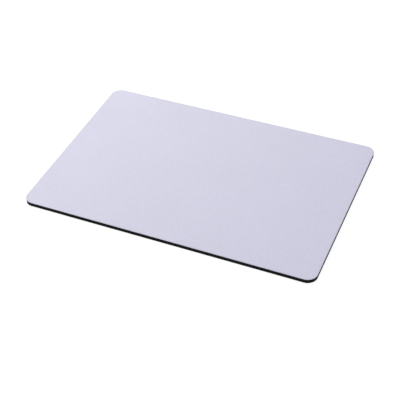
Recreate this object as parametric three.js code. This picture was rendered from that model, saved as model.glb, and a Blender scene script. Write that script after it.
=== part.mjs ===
// A cloth-faced mouse pad: knitted cloth, bonded by an adhesive film to a base of foamed rubber.
// All three layers are cut from one sheet by one stroke of a die, so they share one outline.
// Millimetres, +Z up. The origin is the centre of the underside, +X runs along the long sides.

import * as THREE from 'three';

// Outline that the die cuts
const LENGTH = 250;
const WIDTH = 170;
const CORNER_RADIUS = 8.5;

// Layers, from the table up
const BASE_THICKNESS = 3.5;
const FILM_THICKNESS = 0.1;
const CLOTH_THICKNESS = 0.3;

// Cut edge of the soft base: drawn in at mid height, and rounded where it meets the table
const WAIST_DEPTH = 0.15;
const FOOT_RADIUS = 0.2;

// Rim of the cloth, which the die drags down before it cuts through
const RIM_DROP = 0.2;
const RIM_REACH = 0.8;

// Fineness of the curved outlines
const CORNER_STEPS = 8;
const EDGE_STEPS = 6;

// Colours and finishes
const CLOTH_LOOK = { color: '#d9d9ea', roughness: 0.92, metalness: 0 };
const FILM_LOOK = { color: '#2b2b30', roughness: 0.45, metalness: 0 };
const RUBBER_LOOK = { color: '#141415', roughness: 0.85, metalness: 0 };

// Centre of the corner arc in the quarter of the plate that a point lies in
function cornerCentre(x, y) {
  return new THREE.Vector2(
    Math.sign(x) * (LENGTH / 2 - CORNER_RADIUS),
    Math.sign(y) * (WIDTH / 2 - CORNER_RADIUS),
  );
}

// Rounded rectangle: four corner arcs, joined by the straight sides
function plateOutline() {
  const quarterTurn = Math.PI / 2;
  const outline = new THREE.Shape();
  for (let corner = 0; corner < 4; corner++) {
    const start = corner * quarterTurn;
    const towards = start + quarterTurn / 2;
    const centre = cornerCentre(Math.cos(towards), Math.sin(towards));
    outline.absarc(centre.x, centre.y, CORNER_RADIUS, start, start + quarterTurn);
  }
  return outline;
}

// One layer of the plate. The edge is a path from the layer's underside to its top, in which x is how far the
// side wall is drawn in from the die's cut and y is the height. The plate is extruded with one step for each
// point of the path, and each ring of points then moves to that point's height and inset.
function layer(edge) {
  const levels = edge.getPoints(EDGE_STEPS);
  const geometry = new THREE.ExtrudeGeometry(plateOutline(), {
    depth: levels.length - 1,
    steps: levels.length - 1,
    curveSegments: CORNER_STEPS,
    bevelEnabled: false,
  });
  const place = geometry.attributes.position;
  for (let i = 0; i < place.count; i++) {
    const { x: inset, y: height } = levels[Math.round(place.getZ(i))];
    const centre = cornerCentre(place.getX(i), place.getY(i));
    const shrink = 1 - inset / CORNER_RADIUS;
    place.setXYZ(
      i,
      centre.x + (place.getX(i) - centre.x) * shrink,
      centre.y + (place.getY(i) - centre.y) * shrink,
      height,
    );
  }
  geometry.computeVertexNormals();
  return geometry;
}

function rubberBase() {
  const edge = new THREE.Path();
  edge.moveTo(FOOT_RADIUS, 0);
  edge.quadraticCurveTo(0, 0, 0, FOOT_RADIUS);
  // a curve's control point stands twice as far out as its middle
  edge.quadraticCurveTo(2 * WAIST_DEPTH, (FOOT_RADIUS + BASE_THICKNESS) / 2, 0, BASE_THICKNESS);
  return layer(edge);
}

function adhesiveFilm() {
  const edge = new THREE.Path();
  edge.moveTo(0, 0);
  edge.lineTo(0, FILM_THICKNESS);
  return layer(edge);
}

function clothFace() {
  const shoulder = CLOTH_THICKNESS - RIM_DROP;
  const edge = new THREE.Path();
  edge.moveTo(0, 0);
  edge.lineTo(0, shoulder);
  edge.absellipse(RIM_REACH, shoulder, RIM_REACH, RIM_DROP, Math.PI, Math.PI / 2, true);
  return layer(edge);
}

function part(name, geometry, look, height) {
  const mesh = new THREE.Mesh(geometry, new THREE.MeshStandardMaterial(look));
  mesh.name = name;
  mesh.position.z = height;
  return mesh;
}

const mousePad = new THREE.Group();
mousePad.name = 'mouse_pad';
mousePad.add(
  part('rubber_base', rubberBase(), RUBBER_LOOK, 0),
  part('adhesive_film', adhesiveFilm(), FILM_LOOK, BASE_THICKNESS),
  part('cloth_face', clothFace(), CLOTH_LOOK, BASE_THICKNESS + FILM_THICKNESS),
);

export default mousePad;
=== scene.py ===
"""The looks of a cloth-faced mouse pad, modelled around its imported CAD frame. Metres, +Z up.

The pad is a laminate: knitted cloth, an adhesive film, and a base of foamed rubber with a pressed grip
pattern underneath. Each layer is one closed mesh, finer than the CAD solid that it stands for.
"""

import math

import bpy
import numpy as np
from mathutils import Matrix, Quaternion, Vector, noise
from mathutils.geometry import delaunay_2d_cdt


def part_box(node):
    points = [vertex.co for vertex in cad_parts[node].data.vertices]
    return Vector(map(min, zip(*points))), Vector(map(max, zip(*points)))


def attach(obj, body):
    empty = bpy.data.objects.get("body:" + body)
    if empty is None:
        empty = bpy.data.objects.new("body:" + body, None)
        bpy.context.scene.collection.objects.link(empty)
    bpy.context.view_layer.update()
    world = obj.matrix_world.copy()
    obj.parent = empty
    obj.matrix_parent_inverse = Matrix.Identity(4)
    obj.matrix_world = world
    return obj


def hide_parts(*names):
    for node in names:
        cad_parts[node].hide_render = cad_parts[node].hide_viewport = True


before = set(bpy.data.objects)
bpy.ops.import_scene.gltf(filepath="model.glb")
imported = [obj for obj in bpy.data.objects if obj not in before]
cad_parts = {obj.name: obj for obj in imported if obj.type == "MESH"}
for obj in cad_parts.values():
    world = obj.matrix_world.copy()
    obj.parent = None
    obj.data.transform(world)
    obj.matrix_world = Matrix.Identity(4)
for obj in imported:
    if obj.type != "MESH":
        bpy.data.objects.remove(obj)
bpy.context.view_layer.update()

MM = 0.001
QUARTER = math.pi / 2

# The plate's outline and cut edge, as in the CAD source. Its other sizes come from the frame.
CORNER_RADIUS = 8.5 * MM
WAIST_DEPTH = 0.15 * MM
FOOT_RADIUS = 0.2 * MM
RIM_DROP = 0.2 * MM
RIM_REACH = 0.8 * MM

# The knit: width of a column of stitches, height of a row, and how far its cut stitches stand out
WALE = 0.75 * MM
COURSE = 0.6 * MM
NUB = 0.05 * MM

# Up the cloth's cut wall: a share of its height, and the share of a nub that stands out there
NUB_SHARES = ((0, 0.5), (0.5, 1), (1, 0.8))

# The cloth follows the foam, so its face is not quite even
SWELL = 12 * MM
SWELL_DEPTH = 0.03 * MM

# The foam: width and depth of the larger cells that the cut opened, how far a pit reaches from its
# cell's middle, as a share of the cell's width, and how far the die tore the wall
CELL = 1.1 * MM
CELL_DEPTH = 0.08 * MM
PIT_SHARE = 0.45
TEAR = 0.03 * MM

# The grip pattern: square studs between V-shaped grooves
GRIP_PITCH = 2.5 * MM
GROOVE_WIDTH = 0.8 * MM
GROOVE_DEPTH = 0.25 * MM

# The film stays back from the cut, unevenly
FILM_INSET = 0.06 * MM
FILM_UNEVEN = 0.04 * MM
FILM_LUMP = 4 * MM

# The map that textures are baked through: how much of the pad it holds each way, the gap round the face
# that shows, the share of full size of a bonded face, and how many times their height it spreads the
# foam's wall and thin walls
MAP_SIZE = np.array([256, 204.8]) * MM
MAP_GAP = 5 * MM
BONDED_SHARE = 0.08
WALL_SPREAD = 0.85
THIN_WALL_SPREAD = 10

# Distances between points: along the fine edges, along the film, and in the flat fills
FINE = 0.35 * MM
MEDIUM = 0.8 * MM
COARSE = 8 * MM
CLOTH_GRID = 2.5 * MM
SAME_POINT = 0.001 * MM

# Rings of points that make the foam's rounded foot, its wall, and the cloth's rim
FOOT_RINGS = 4
WALL_RINGS = 10
RIM_RINGS = 7

# Inside the cloth's rim the points thin out: rows at these distances keep one point of so many, and
# then the grid starts
THINNING_ROWS = ((0.4 * MM, 2), (1.1 * MM, 4))
CLOTH_GRID_START = 2.2 * MM

# Edges that bend more than this are shaded as sharp
BASE_SHARP = math.radians(40)
FILM_SHARP = math.radians(60)
CLOTH_SHARP = math.radians(50)

base_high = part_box("rubber_base")[1]
film_low, film_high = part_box("adhesive_film")
cloth_low, cloth_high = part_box("cloth_face")
HALF = np.array(base_high.xy)


# Shapes


def depth_inside(x, y):
    """How far the points lie inside the plate's outline."""
    beyond = np.c_[abs(x), abs(y)] - (HALF - CORNER_RADIUS)
    return CORNER_RADIUS - np.linalg.norm(beyond.clip(0), axis=1) - beyond.max(axis=1).clip(max=0)


def grid(step, margin, offsets=(0,)):
    """The crossings of evenly stepped lines that lie more than margin inside the outline.

    Each line is repeated at the offsets.
    """
    lines = []
    for half in HALF:
        count = math.ceil(half / step)
        steps = np.arange(-count, count + 1) * step
        lines.append(np.sort(np.concatenate([steps + offset for offset in offsets])))
    x, y = (places.ravel() for places in np.meshgrid(*lines))
    return np.c_[x, y][depth_inside(x, y) > margin]


def outline(spacing):
    """Points along the plate's outline, about spacing apart, and their outward normals."""
    points, normals = [], []
    reach = HALF - CORNER_RADIUS
    for side in range(4):
        across = np.array([math.cos(side * QUARTER), math.sin(side * QUARTER)]).round()
        along = np.array([-across[1], across[0]])
        length = 2 * abs(float(reach @ along))
        steps = round(length / spacing)
        start = reach * (across - along) + CORNER_RADIUS * across
        for step in range(steps):
            points.append(start + length * step / steps * along)
            normals.append(across)
        steps = round(CORNER_RADIUS * QUARTER / spacing)
        for step in range(steps):
            turn = QUARTER * step / steps
            normal = math.cos(turn) * across + math.sin(turn) * along
            points.append(reach * (across + along) + CORNER_RADIUS * normal)
            normals.append(normal)
    return np.array(points), np.array(normals)


def noise_at(places, size):
    """Smooth noise from about -1 to 1, with lumps of the given size."""
    return np.array([noise.noise(Vector(place) / size) for place in places])


def lumps_at(places, size):
    """Smooth noise from about 0 to 1, with lumps of the given size."""
    return 0.5 + 0.5 * noise_at(places, size)


def cells_at(places, size):
    """How far each place lies from the middle of its foam cell, in cell widths."""
    return np.array([noise.voronoi(Vector(place) / size)[0][0] for place in places])


class Layer:
    """A closed mesh: rings of points round the outline, one above another, and a fill across both ends.

    One end shows and the other is bonded. The bake map holds the end that shows at full size, with the
    wall folded flat round it, and the bonded end smaller, beside them.
    """

    def __init__(self, spacing):
        self.points, self.normals = outline(spacing)
        self.count = len(self.points)
        self.vertices, self.faces = [], []
        self.flat, self.bonded = [], []

    def inset(self, depth):
        """The outline's points, drawn in by depth: one value, or one for each point."""
        return self.points - self.normals * np.broadcast_to(depth, self.count)[:, None]

    def ring(self, depth, height, flat):
        """Adds a ring at a depth and height, joined to the one before it.

        On the bake map it lies flat outside the outline.
        """
        first = len(self.vertices)
        if first:
            for i in range(self.count):
                j = (i + 1) % self.count
                below = first - self.count
                self.faces.append((below + i, below + j, first + j, first + i))
            self.bonded += [False] * self.count
        heights = np.broadcast_to(height, self.count)
        self.vertices += np.c_[self.inset(depth), heights].tolist()
        self.flat += self.inset(-flat).tolist()

    def fill(self, first, inner, heights, upwards, bonded):
        """Closes the ring that starts at vertex first with triangles through the inner points."""
        rim = [Vector(v[:2]) for v in self.vertices[first:first + self.count]]
        points = rim + [Vector(p) for p in inner]
        inside_only = 1
        found = delaunay_2d_cdt(points, [], [range(self.count)], inside_only, SAME_POINT)
        triangles, sources = found[2], found[3]
        after = len(self.vertices) - self.count
        place = [s[0] + (first if s[0] < self.count else after) for s in sources]
        self.vertices += np.c_[inner, np.broadcast_to(heights, len(inner))].tolist()
        self.flat += inner.tolist()
        self.bonded += [bonded] * len(triangles)
        for triangle in triangles:
            corners = [place[i] for i in triangle]
            self.faces.append(corners if upwards else corners[::-1])

    def flat_fill(self, first, height, upwards, bonded):
        """Closes the ring that starts at vertex first with a flat face."""
        self.fill(first, grid(COARSE, COARSE / 2), height, upwards, bonded)

    def bake_map(self):
        """The place on the bake map of each face's corners, from 0 to 1 both ways."""
        corner = np.concatenate(self.faces)
        bonded = np.repeat(self.bonded, [len(face) for face in self.faces])[:, None]
        beside = np.array(self.vertices)[corner, :2] * BONDED_SHARE
        beside[:, 1] += HALF[1] * (1 + BONDED_SHARE) + MAP_GAP
        spread = np.where(bonded, beside, np.array(self.flat)[corner])
        return (spread + (MAP_SIZE[0] / 2, HALF[1] + MAP_GAP)) / MAP_SIZE

    def piece(self, name, material, sharp_angle):
        """The finished object, which also carries how far inside the outline each point lies."""
        mesh = bpy.data.meshes.new(name)
        mesh.from_pydata(self.vertices, [], self.faces)
        mesh.shade_smooth()
        mesh.set_sharp_from_angle(angle=sharp_angle)
        depths = depth_inside(*np.array(self.vertices)[:, :2].T)
        mesh.attributes.new("depth", "FLOAT", "POINT").data.foreach_set("value", depths)
        mesh.uv_layers.new(name="OFBake").uv.foreach_set("vector", self.bake_map().ravel())
        mesh.materials.append(material)
        piece = bpy.data.objects.new(name, mesh)
        bpy.context.scene.collection.objects.link(piece)
        return piece


def grip_height(x, y):
    """Height of the pressed pattern over the table: nothing on the studs, most in the grooves."""
    from_groove = abs((np.c_[x, y] / GRIP_PITCH + 0.5) % 1 - 0.5) * GRIP_PITCH
    rise = (1 - from_groove / (GROOVE_WIDTH / 2)).clip(0)
    return GROOVE_DEPTH * rise.max(axis=1)


def rubber_base(material):
    base = Layer(FINE)
    top = base_high.z
    foot = grip_height(*base.inset(FOOT_RADIUS).T)

    def wall_ring(depth, height, flat):
        """A ring of the cut wall, torn and pitted a little, and lifted where a groove runs out."""
        places = np.c_[base.inset(depth), np.full(base.count, height)]
        pits = (1 - cells_at(places, CELL) / PIT_SHARE).clip(0) ** 0.5
        rough = TEAR * lumps_at(places, CELL) + CELL_DEPTH * pits
        base.ring(depth + rough, height + foot * (1 - height / top), flat)

    # the rounded foot, and then the wall, which is drawn in most at mid height
    for share in np.linspace(0, 1, FOOT_RINGS, endpoint=False):
        depth = FOOT_RADIUS * (1 - share) ** 2
        wall_ring(depth, FOOT_RADIUS * share ** 2, -depth)
    for share in np.linspace(0, 1, WALL_RINGS):
        above_foot = share * (top - FOOT_RADIUS)
        waist = 4 * share * (1 - share) * WAIST_DEPTH
        wall_ring(waist, FOOT_RADIUS + above_foot, WALL_SPREAD * above_foot)
    last = len(base.vertices) - base.count

    # each groove has a line of points along its bottom and one along each edge
    groove_lines = (-GROOVE_WIDTH / 2, 0, GROOVE_WIDTH / 2)
    grip = grid(GRIP_PITCH, FOOT_RADIUS + 2 * FINE, groove_lines)
    base.fill(0, grip, grip_height(*grip.T), upwards=False, bonded=False)
    base.flat_fill(last, top, upwards=True, bonded=True)
    return base.piece("rubber_base_foam", material, BASE_SHARP)


def adhesive_film(material):
    film = Layer(MEDIUM)
    for share, bulge in ((0, 0), (0.5, FILM_INSET / 2), (1, 0)):
        height = film_low.z + share * (film_high.z - film_low.z)
        places = np.c_[film.points, np.full(film.count, height)]
        depth = FILM_INSET - bulge + FILM_UNEVEN * noise_at(places, FILM_LUMP)
        film.ring(depth, height, THIN_WALL_SPREAD * (film_high.z - height))
    last = len(film.vertices) - film.count
    film.flat_fill(0, film_low.z, upwards=False, bonded=True)
    film.flat_fill(last, film_high.z, upwards=True, bonded=False)
    return film.piece("adhesive_film_bond", material, FILM_SHARP)


def cloth_face(material):
    cloth = Layer(FINE)
    bottom, top = cloth_low.z, cloth_high.z
    shoulder = top - bottom - RIM_DROP

    # cut columns show along the long sides and cut rows along the short sides
    stitch = abs(np.sin(np.pi * cloth.points / (WALE, COURSE)))
    nubs = NUB * (1 - (stitch * abs(cloth.normals[:, ::-1])).sum(axis=1))

    def swell(flat):
        """How far the face lies below its highest level."""
        return SWELL_DEPTH * lumps_at(np.c_[flat, np.zeros(len(flat))], SWELL)

    for share, nub_share in NUB_SHARES:
        flat = THIN_WALL_SPREAD * (1 - share) * shoulder
        cloth.ring(nubs * nub_share, bottom + share * shoulder, flat)
    for turn in np.linspace(0, QUARTER, RIM_RINGS + 1)[1:]:
        depth = RIM_REACH * (1 - math.cos(turn))
        lift = shoulder + RIM_DROP * math.sin(turn)
        sink = swell(cloth.inset(depth)) * math.sin(turn)
        cloth.ring(depth + nubs * math.cos(turn), bottom + lift - sink, -depth)
    last = len(cloth.vertices) - cloth.count

    rows = [cloth.inset(RIM_REACH + distance)[::every] for distance, every in THINNING_ROWS]
    face = np.concatenate([*rows, grid(CLOTH_GRID, RIM_REACH + CLOTH_GRID_START)])
    cloth.fill(last, face, top - swell(face), upwards=True, bonded=False)
    cloth.flat_fill(0, bottom, upwards=False, bonded=True)
    return cloth.piece("cloth_face_knit", material, CLOTH_SHARP)


# Materials


# Most of a noise lies between these two values
NOISE_LOW = 0.3
NOISE_HIGH = 0.7


class Nodes:
    """The nodes of a material or a world, with short calls that add a node and return its output."""

    def __init__(self, owner):
        owner.use_nodes = True
        self.tree = owner.node_tree

    def feed(self, socket, value):
        """Links a socket to a node's output, or sets it to a plain value."""
        if isinstance(value, bpy.types.NodeSocket):
            self.tree.links.new(value, socket)
        else:
            socket.default_value = value

    def add(self, kind, output, inputs, **settings):
        """Adds a node, sets it, feeds its inputs, and returns one of its outputs."""
        node = self.tree.nodes.new(kind)
        for name, value in settings.items():
            setattr(node, name, value)
        for name, value in inputs.items():
            self.feed(node.inputs[name], value)
        return node.outputs[output]

    def maths(self, operation, *values):
        return self.add("ShaderNodeMath", 0, dict(enumerate(values)), operation=operation)

    def between(self, value, low, high, to_low, to_high):
        """The value's way from low to high, as a number from to_low to to_high."""
        ranges = {"From Min": low, "From Max": high, "To Min": to_low, "To Max": to_high}
        return self.add("ShaderNodeMapRange", "Result", {"Value": value, **ranges})

    def vary(self, noise_value, to_low, to_high):
        """A noise, as a number from to_low to to_high."""
        return self.between(noise_value, NOISE_LOW, NOISE_HIGH, to_low, to_high)

    def place(self):
        return self.add("ShaderNodeTexCoord", "Object", {})

    def split(self, vector):
        separate = self.tree.nodes.new("ShaderNodeSeparateXYZ")
        self.feed(separate.inputs[0], vector)
        return separate.outputs

    def join(self, x, y):
        """A flat place from its two coordinates."""
        return self.add("ShaderNodeCombineXYZ", "Vector", {"X": x, "Y": y})

    def noise(self, place, size, detail=2.0):
        """Noise from 0 to 1, with lumps of the given size."""
        inputs = {"Vector": place, "Scale": 1 / size, "Detail": detail}
        return self.add("ShaderNodeTexNoise", "Fac", inputs)

    def cells(self, place, size):
        """Distance to the middle of a foam cell, in cell widths."""
        inputs = {"Vector": place, "Scale": 1 / size}
        return self.add("ShaderNodeTexVoronoi", "Distance", inputs)

    def rim(self):
        """How far a point lies inside the plate's outline, in metres."""
        return self.add("ShaderNodeAttribute", "Fac", {}, attribute_name="depth")

    def blend(self, share, first, second):
        """A colour between two colours."""
        return self.add("ShaderNodeMix", 2, {0: share, 6: first, 7: second}, data_type="RGBA")

    def shade(self, colour, factor):
        """The colour times a factor."""
        inputs = {0: 1.0, 6: colour, 7: factor}
        return self.add("ShaderNodeMix", 2, inputs, data_type="RGBA", blend_type="MULTIPLY")

    def bump(self, height, relief, normal=None):
        """A normal that shows the height as a relief, which is a depth and a strength."""
        distance, strength = relief
        inputs = {"Height": height, "Distance": distance, "Strength": strength}
        if normal:
            inputs["Normal"] = normal
        return self.add("ShaderNodeBump", 0, inputs)

    def seen_directly(self):
        """1 for rays that show the background: from the camera, a reflection or a clear surface."""
        rays = self.tree.nodes.new("ShaderNodeLightPath").outputs
        reflected_or_through = self.maths("MAXIMUM", rays["Is Glossy Ray"], rays["Is Transmission Ray"])
        return self.maths("MAXIMUM", rays["Is Camera Ray"], reflected_or_through)

    def mix_shaders(self, share, first, second):
        return self.add("ShaderNodeMixShader", 0, {0: share, 1: first, 2: second})


class Look(Nodes):
    """A material of the pad, around its principled shader."""

    def __init__(self, name):
        self.material = bpy.data.materials.new(name)
        super().__init__(self.material)

    def finish(self, values):
        """Gives the shader its values, by the names of its inputs, and returns the material."""
        surface = self.tree.nodes["Principled BSDF"]
        for name, value in values.items():
            self.feed(surface.inputs[name], value)
        return self.material


# The drawn stitches: how many rows a leg of a V rises, how many rows they wander and over what length,
# and the width of the yarn's fibres, alone and as a share of their length
LEG_RISE = 0.9
WANDER = 1.2
WANDER_SIZE = 3 * MM
FIBRE_WIDTH = 0.05 * MM
FIBRE_WIDTH_SHARE = 0.16


def stitches(look, place):
    """A plain knit, in columns of nested V shapes, of yarn whose fibres run along the legs of each V.

    Gives the height, from 0 between the stitches to 1 on the yarn, and a noise that follows the fibres.
    """
    wander = look.noise(place, WANDER_SIZE, detail=1.0)
    x, y, _ = look.split(place)
    column = look.maths("FRACT", look.maths("DIVIDE", x, WALE))
    from_middle = look.maths("ABSOLUTE", look.maths("MULTIPLY_ADD", column, 2.0, -1.0))
    row = look.maths("MULTIPLY_ADD", from_middle, -LEG_RISE, look.maths("DIVIDE", y, COURSE))
    row = look.maths("MULTIPLY_ADD", wander, WANDER, row)
    strand = look.maths("ABSOLUTE", look.maths("SINE", look.maths("MULTIPLY", row, math.pi)))
    leg = look.maths("SINE", look.maths("MULTIPLY", from_middle, math.pi))
    height = look.maths("MULTIPLY", strand, look.maths("POWER", look.maths("ABSOLUTE", leg), 0.5))
    across = look.maths("MULTIPLY", row, COURSE)
    along = look.maths("MULTIPLY", x, FIBRE_WIDTH_SHARE)
    return height, look.noise(look.join(across, along), FIBRE_WIDTH)


# The cloth's colour, and a darker, greyer one at its cut edge, and how far in and how much it darkens
CLOTH_COLOUR = (0.697, 0.692, 0.832, 1)
CLOTH_AT_EDGE = (0.60, 0.60, 0.69, 1)
EDGE_DARKENING_REACH = 1.6 * MM
EDGE_DARKENING_MOST = 0.55

# Its tone, from painted shade in the gaps up to the yarn, and at random in small and large patches
KNIT_PAINTED_SHADE = (0.90, 1.03)
PATCH_SIZE = 1.7 * MM
PATCH_TONE = (0.97, 1.03)
AREA_SIZE = 45 * MM
AREA_TONE = (0.992, 1.008)

# Its roughness, and its relief, each a depth and a strength
CLOTH_ROUGHNESS = (0.84, 0.97)
KNIT_RELIEF = (0.07 * MM, 0.55)
FIBRE_RELIEF = (0.02 * MM, 0.6)


def knitted_cloth():
    look = Look("knitted_cloth")
    place = look.place()
    knit, fibres = stitches(look, place)
    patches = look.noise(place, PATCH_SIZE, detail=3.0)
    areas = look.noise(place, AREA_SIZE, detail=1.0)
    # The colour grows darker and greyer towards the cut edge
    edge_darkening = look.between(look.rim(), 0.0, EDGE_DARKENING_REACH, EDGE_DARKENING_MOST, 0.0)

    colour = look.blend(edge_darkening, CLOTH_COLOUR, CLOTH_AT_EDGE)
    # Painted shade: the colour darkens in the gaps between stitches, where the knit is low
    knit_shade_and_tone = look.between(knit, 0.0, 1.0, *KNIT_PAINTED_SHADE)
    knit_shade_and_tone = look.maths("MULTIPLY", knit_shade_and_tone, look.vary(patches, *PATCH_TONE))
    knit_shade_and_tone = look.maths("MULTIPLY", knit_shade_and_tone, look.vary(areas, *AREA_TONE))
    weave = look.bump(knit, KNIT_RELIEF)
    return look.finish({
        "Base Color": look.shade(colour, knit_shade_and_tone),
        "Roughness": look.vary(fibres, *CLOTH_ROUGHNESS),
        "Normal": look.bump(fibres, FIBRE_RELIEF, weave),
        "Sheen Weight": 0.15,
        "Sheen Roughness": 0.45,
        "Specular IOR Level": 0.25,
    })


# The foam's colour, clean and dusty
FOAM_COLOUR = (0.006, 0.006, 0.0075, 1)
FOAM_DUSTY = (0.014, 0.014, 0.016, 1)

# Its pores: width, the distances from the middle where the rim begins and ends, in pore widths, and the
# tone inside, which is painted shade, and outside
PORE_SIZE = 0.32 * MM
PORE_RIM = (0.12, 0.42)
PORE_PAINTED_SHADE = (0.35, 1.0)

# Its dust: large patches, whose share of dust grows over a range of their noise, a fine grain in them,
# and the lowest stretch of the wall, which the table rubs
DUST_PATCH_SIZE = 9 * MM
DUST_PATCH_RANGE = (0.35, 0.7)
DUST_PATCH_SHARES = (0.1, 0.8)
GRAIN_SIZE = 0.15 * MM
GRAIN_SHARES = (0.2, 1.0)
RUBBED_HEIGHT = 0.06 * MM
RUBBED_MOST = 0.7

# Its roughness, and its relief, each a depth and a strength
FOAM_ROUGHNESS = (0.72, 0.95)
PORE_RELIEF = (0.12 * MM, 0.6)
GRAIN_RELIEF = (0.03 * MM, 0.4)


def foam_rubber():
    look = Look("foam_rubber")
    place = look.place()
    pores = look.cells(place, PORE_SIZE)
    grain = look.noise(place, GRAIN_SIZE, detail=3.0)
    patches = look.noise(place, DUST_PATCH_SIZE, detail=3.0)
    height = look.split(place)[2]
    rubbed = look.between(height, 0.0, RUBBED_HEIGHT, RUBBED_MOST, 0.0)

    dust_patches = look.between(patches, *DUST_PATCH_RANGE, *DUST_PATCH_SHARES)
    dust = look.maths("MULTIPLY", dust_patches, look.vary(grain, *GRAIN_SHARES))
    dust = look.maths("MAXIMUM", dust, look.maths("MULTIPLY", rubbed, grain))
    colour = look.blend(dust, FOAM_COLOUR, FOAM_DUSTY)
    # Painted shade: each pore's colour darkens towards its middle, where it also sinks in the relief
    pore_depth_and_shade = look.between(pores, *PORE_RIM, *PORE_PAINTED_SHADE)
    pitted = look.bump(pore_depth_and_shade, PORE_RELIEF)
    return look.finish({
        "Base Color": look.shade(colour, pore_depth_and_shade),
        "Roughness": look.vary(patches, *FOAM_ROUGHNESS),
        "Normal": look.bump(grain, GRAIN_RELIEF, pitted),
        "Specular IOR Level": 0.1,
    })


# The film: its colour, and smears in its tone, roughness and relief
FILM_COLOUR = (0.03, 0.03, 0.034, 1)
SMEAR_SIZE = 1.5 * MM
SMEAR_TONE = (0.7, 1.3)
FILM_ROUGHNESS = (0.3, 0.5)
SMEAR_RELIEF = (0.03 * MM, 0.4)


def hot_melt():
    look = Look("hot_melt")
    smears = look.noise(look.place(), SMEAR_SIZE, detail=3.0)
    return look.finish({
        "Base Color": look.shade(FILM_COLOUR, look.vary(smears, *SMEAR_TONE)),
        "Roughness": look.vary(smears, *FILM_ROUGHNESS),
        "Normal": look.bump(smears, SMEAR_RELIEF),
    })


# Stage


# The light that comes from all round
AMBIENT = 0.43
AMBIENT_COLOUR = (1, 1, 1.17, 1)

# The softbox
KEY_PLACE = Vector((-0.6, 0.2, 1.0))
KEY_WIDTH = 0.7
KEY_WATTS = 10.0
KEY_COLOUR = (1, 1, 0.87)

# The floor: half its width, how far below the pad it lies, its colour, how bright its white is, and the
# share of white, which grows to all of it between two distances from the pad's middle
FLOOR_HALF = 5.0
FLOOR_GAP = 0.01 * MM
FLOOR_COLOUR = (0.8, 0.8, 0.8, 1)
FLOOR_WHITE = 1.07
FLOOR_WHITE_SHARE = 0.88
FLOOR_FADE_START = 0.4
FLOOR_FADE_END = 1.0


def add_floor():
    """A pale floor. Seen directly it is mostly plain white, and keeps a faint shadow of the pad."""
    signs = ((-1, -1), (1, -1), (1, 1), (-1, 1))
    corners = [(x * FLOOR_HALF, y * FLOOR_HALF, -FLOOR_GAP) for x, y in signs]
    mesh = bpy.data.meshes.new("floor")
    mesh.from_pydata(corners, [], [range(4)])
    material = bpy.data.materials.new("floor")
    nodes = Nodes(material)
    nodes.tree.nodes.clear()
    matt = nodes.add("ShaderNodeBsdfDiffuse", 0, {"Color": FLOOR_COLOUR})
    white = nodes.add("ShaderNodeEmission", 0, {"Strength": FLOOR_WHITE})
    distance = nodes.add("ShaderNodeVectorMath", "Value", {0: nodes.place()}, operation="LENGTH")
    fade = nodes.between(distance, FLOOR_FADE_START, FLOOR_FADE_END, FLOOR_WHITE_SHARE, 1.0)
    share = nodes.maths("MULTIPLY", nodes.seen_directly(), fade)
    output = nodes.tree.nodes.new("ShaderNodeOutputMaterial")
    nodes.feed(output.inputs["Surface"], nodes.mix_shaders(share, matt, white))
    mesh.materials.append(material)
    floor = bpy.data.objects.new("floor", mesh)
    bpy.context.scene.collection.objects.link(floor)


def set_world():
    """Even light from all round. Seen directly, the world is plain white."""
    world = bpy.data.worlds.new("studio")
    bpy.context.scene.world = world
    nodes = Nodes(world)
    nodes.tree.nodes.clear()
    room = nodes.add("ShaderNodeBackground", 0, {"Color": AMBIENT_COLOUR, "Strength": AMBIENT})
    white = nodes.add("ShaderNodeBackground", 0, {"Color": (1, 1, 1, 1)})
    output = nodes.tree.nodes.new("ShaderNodeOutputWorld")
    nodes.feed(output.inputs["Surface"], nodes.mix_shaders(nodes.seen_directly(), room, white))


def add_key_light():
    """A round softbox above and beyond the pad's left end, aimed at the pad's middle."""
    light = bpy.data.lights.new("key", "AREA")
    light.shape = "DISK"
    light.size = KEY_WIDTH
    light.energy = KEY_WATTS
    light.color = KEY_COLOUR
    lamp = bpy.data.objects.new("key", light)
    lamp.location = KEY_PLACE
    lamp.rotation_mode = "QUATERNION"
    lamp.rotation_quaternion = (-KEY_PLACE).to_track_quat("-Z", "Y")
    bpy.context.scene.collection.objects.link(lamp)


# The photograph's view: the point of the cloth at the picture's middle, the camera's place round it,
# and its sensor and lens in millimetres, as Blender takes them
AIM = Vector((10.4 * MM, -31.65 * MM, cloth_high.z))
CAMERA_AZIMUTH = math.radians(24.51)
CAMERA_ELEVATION = math.radians(41.43)
CAMERA_ROLL = math.radians(-2.09)
CAMERA_DISTANCE = 778.3 * MM
SENSOR = 36.0
LENS = 86.29


def add_camera():
    data = bpy.data.cameras.new("camera")
    data.sensor_width = SENSOR
    data.lens = LENS
    camera = bpy.data.objects.new("camera", data)
    out = math.cos(CAMERA_ELEVATION)
    back = Vector(
        (out * math.sin(CAMERA_AZIMUTH), -out * math.cos(CAMERA_AZIMUTH), math.sin(CAMERA_ELEVATION))
    )
    camera.location = AIM + back * CAMERA_DISTANCE
    camera.rotation_mode = "QUATERNION"
    level = (-back).to_track_quat("-Z", "Y")
    camera.rotation_quaternion = level @ Quaternion((0, 0, 1), CAMERA_ROLL)
    bpy.context.scene.collection.objects.link(camera)
    bpy.context.scene.camera = camera


add_camera()
set_world()
add_floor()
add_key_light()
bpy.context.scene.view_settings.view_transform = "Standard"

for make, look, node, slot in (
    (rubber_base, foam_rubber, "rubber_base", "foam_rubber"),
    (adhesive_film, hot_melt, "adhesive_film", "adhesive"),
    (cloth_face, knitted_cloth, "cloth_face", "knitted_cloth"),
):
    piece = make(look())
    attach(piece, "root")
    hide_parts(node)
